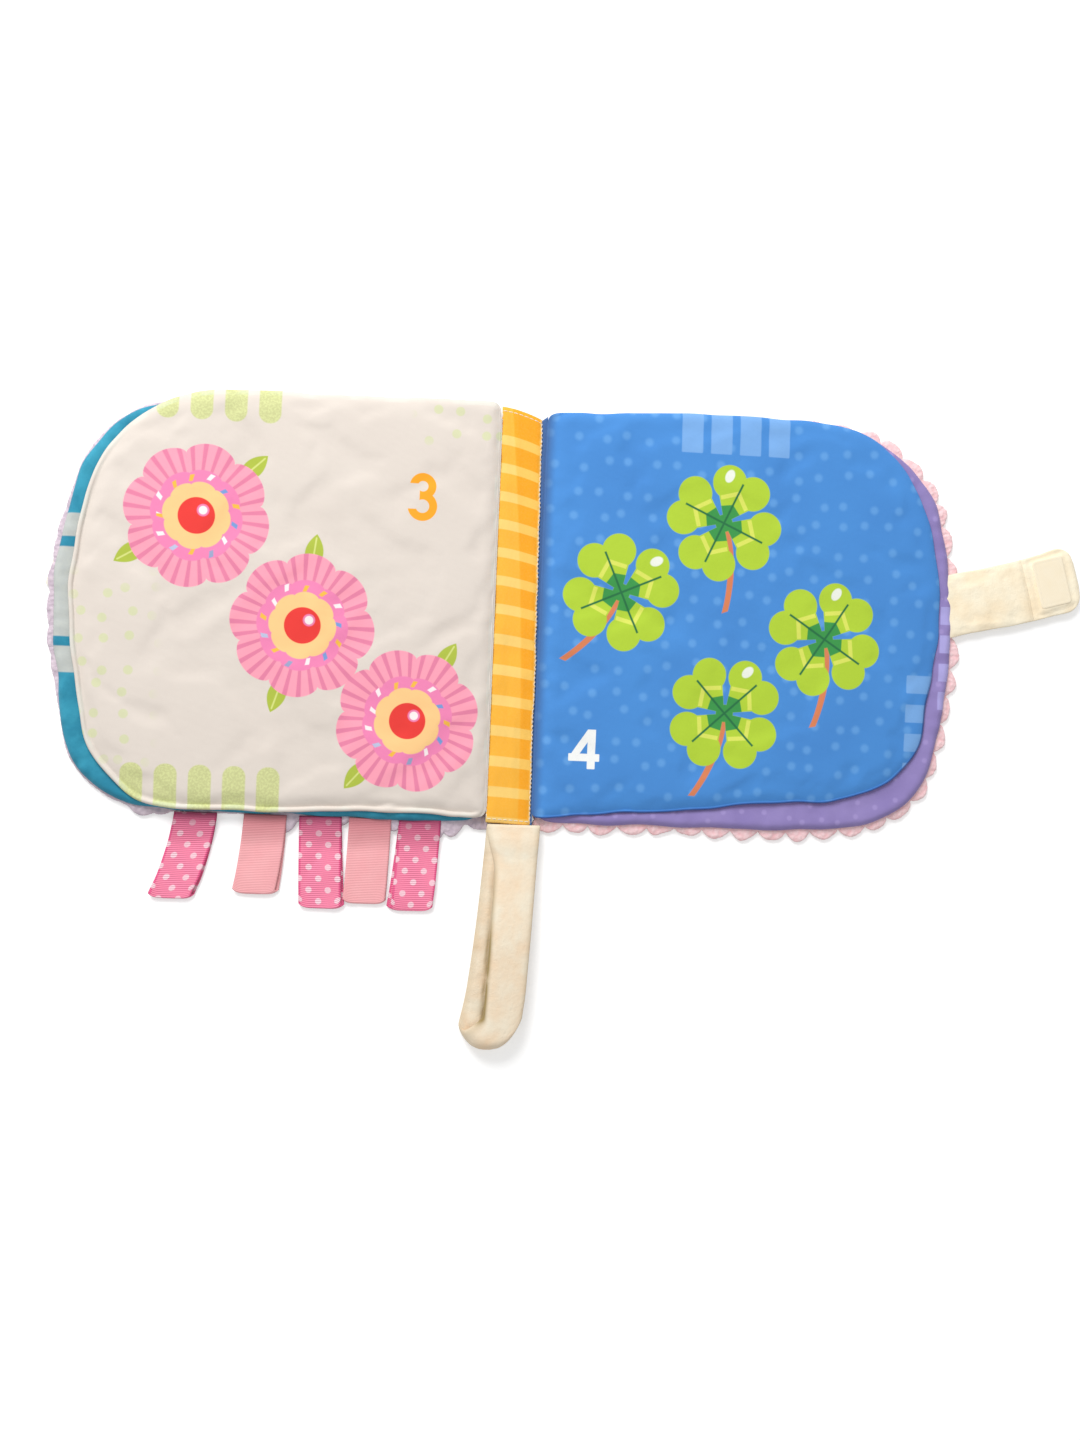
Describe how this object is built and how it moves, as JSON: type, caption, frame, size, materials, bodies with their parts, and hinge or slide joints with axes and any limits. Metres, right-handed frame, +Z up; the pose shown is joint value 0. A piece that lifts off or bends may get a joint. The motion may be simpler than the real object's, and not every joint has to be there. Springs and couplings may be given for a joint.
{
  "type": "crinkle cloth book",
  "caption": "Soft cloth book lying open: padded covers with a scalloped plush edge, crackling pages, checked spine strip, closure strap, carry loop and ribbon loops.",
  "frame": {"origin": "centre of the spine's flat underside, on the surface that the open book lies on", "axes": "+X towards the right page, +Y towards the top of the pages, +Z up, out of the open book"},
  "size_m": [0.5031, 0.3125, 0.0103],
  "materials": {
    "plush_lilac": "short grey-lilac plush",
    "plush_pink": "short pink plush with a scalloped edge",
    "turquoise_cotton": "turquoise woven cotton",
    "purple_cotton": "purple woven cotton",
    "cream_cotton": "off-white printed cotton",
    "blue_cotton": "blue printed cotton",
    "gingham": "orange gingham cotton",
    "plush_cream": "cream plush",
    "fleece_yellow": "pale yellow brushed fleece",
    "ribbon_hot_pink": "ribbed hot-pink ribbon with pale dots",
    "ribbon_light_pink": "ribbed light-pink ribbon",
    "wadding": "white polyester wadding",
    "film": "thin crackling film",
    "touch_fastener": "off-white touch-fastener tape"
  },
  "bodies": {
    "spine": {"spine_plush": "plush_lilac", "spine_wadding": "wadding", "gingham_strip": "gingham"},
    "front_cover": {"front_cover_plush": "plush_lilac", "front_cover_wadding": "wadding", "front_cover_film": "film", "front_cover_lining": "turquoise_cotton", "loop_patch": "touch_fastener"},
    "back_cover": {"back_cover_plush": "plush_pink", "back_cover_wadding": "wadding", "back_cover_film": "film", "back_cover_lining": "purple_cotton", "strap_anchor": "fleece_yellow"},
    "left_page": {"left_page_lower": "cream_cotton", "left_page_film": "film", "left_page_upper": "cream_cotton"},
    "right_page": {"right_page_lower": "blue_cotton", "right_page_film": "film", "right_page_upper": "blue_cotton"},
    "strap_root": {"strap_root_band": "fleece_yellow"},
    "strap_tip": {"strap_tip_band": "fleece_yellow", "hook_patch": "touch_fastener"},
    "carry_loop": {"carry_loop_band": "plush_cream"},
    "ribbon_1": {"ribbon_1_loop": "ribbon_hot_pink"},
    "ribbon_2": {"ribbon_2_loop": "ribbon_light_pink"},
    "ribbon_3": {"ribbon_3_loop": "ribbon_hot_pink"},
    "ribbon_4": {"ribbon_4_loop": "ribbon_light_pink"},
    "ribbon_5": {"ribbon_5_loop": "ribbon_hot_pink"}
  },
  "joints": [
    {"name": "front_cover_fold", "type": "hinge", "parent": "spine", "child": "front_cover", "pos_m": [-0.0132, 0, 0.005], "axis": [0, -1, 0], "range_deg": [-90, 0]},
    {"name": "back_cover_fold", "type": "hinge", "parent": "spine", "child": "back_cover", "pos_m": [0.0132, 0, 0.005], "axis": [0, 1, 0], "range_deg": [-90, 0]},
    {"name": "left_page_turn", "type": "hinge", "parent": "front_cover", "child": "left_page", "pos_m": [-0.01065, 0, 0.00845], "axis": [0, 1, 0], "range_deg": [0, 180]},
    {"name": "right_page_turn", "type": "hinge", "parent": "back_cover", "child": "right_page", "pos_m": [0.01065, 0, 0.0101], "axis": [0, -1, 0], "range_deg": [0, 180]},
    {"name": "strap_root_fold", "type": "hinge", "parent": "back_cover", "child": "strap_root", "pos_m": [0.2221, 0.0175, 0.0043], "axis": [-0.2723, 0.9622, 0], "range_deg": [-90, 0]},
    {"name": "strap_tip_fold", "type": "hinge", "parent": "strap_root", "child": "strap_tip", "pos_m": [0.25433, 0.02662, 0.0043], "axis": [-0.2723, 0.9622, 0], "range_deg": [-90, 0]},
    {"name": "carry_loop_lift", "type": "hinge", "parent": "spine", "child": "carry_loop", "pos_m": [0.003, -0.0996, 0.0071], "axis": [-1, 0, 0], "range_deg": [0, 90]},
    {"name": "ribbon_1_lift", "type": "hinge", "parent": "front_cover", "child": "ribbon_1", "pos_m": [-0.14733, -0.0989, 0.0031], "axis": [-1, 0, 0], "range_deg": [0, 90]},
    {"name": "ribbon_2_lift", "type": "hinge", "parent": "front_cover", "child": "ribbon_2", "pos_m": [-0.1149, -0.0989, 0.0031], "axis": [-1, 0, 0], "range_deg": [0, 90]},
    {"name": "ribbon_3_lift", "type": "hinge", "parent": "front_cover", "child": "ribbon_3", "pos_m": [-0.08895, -0.0989, 0.0031], "axis": [-1, 0, 0], "range_deg": [0, 90]},
    {"name": "ribbon_4_lift", "type": "hinge", "parent": "front_cover", "child": "ribbon_4", "pos_m": [-0.06548, -0.0989, 0.0031], "axis": [-1, 0, 0], "range_deg": [0, 90]},
    {"name": "ribbon_5_lift", "type": "hinge", "parent": "front_cover", "child": "ribbon_5", "pos_m": [-0.04182, -0.0989, 0.0031], "axis": [-1, 0, 0], "range_deg": [0, 90]}
  ]
}
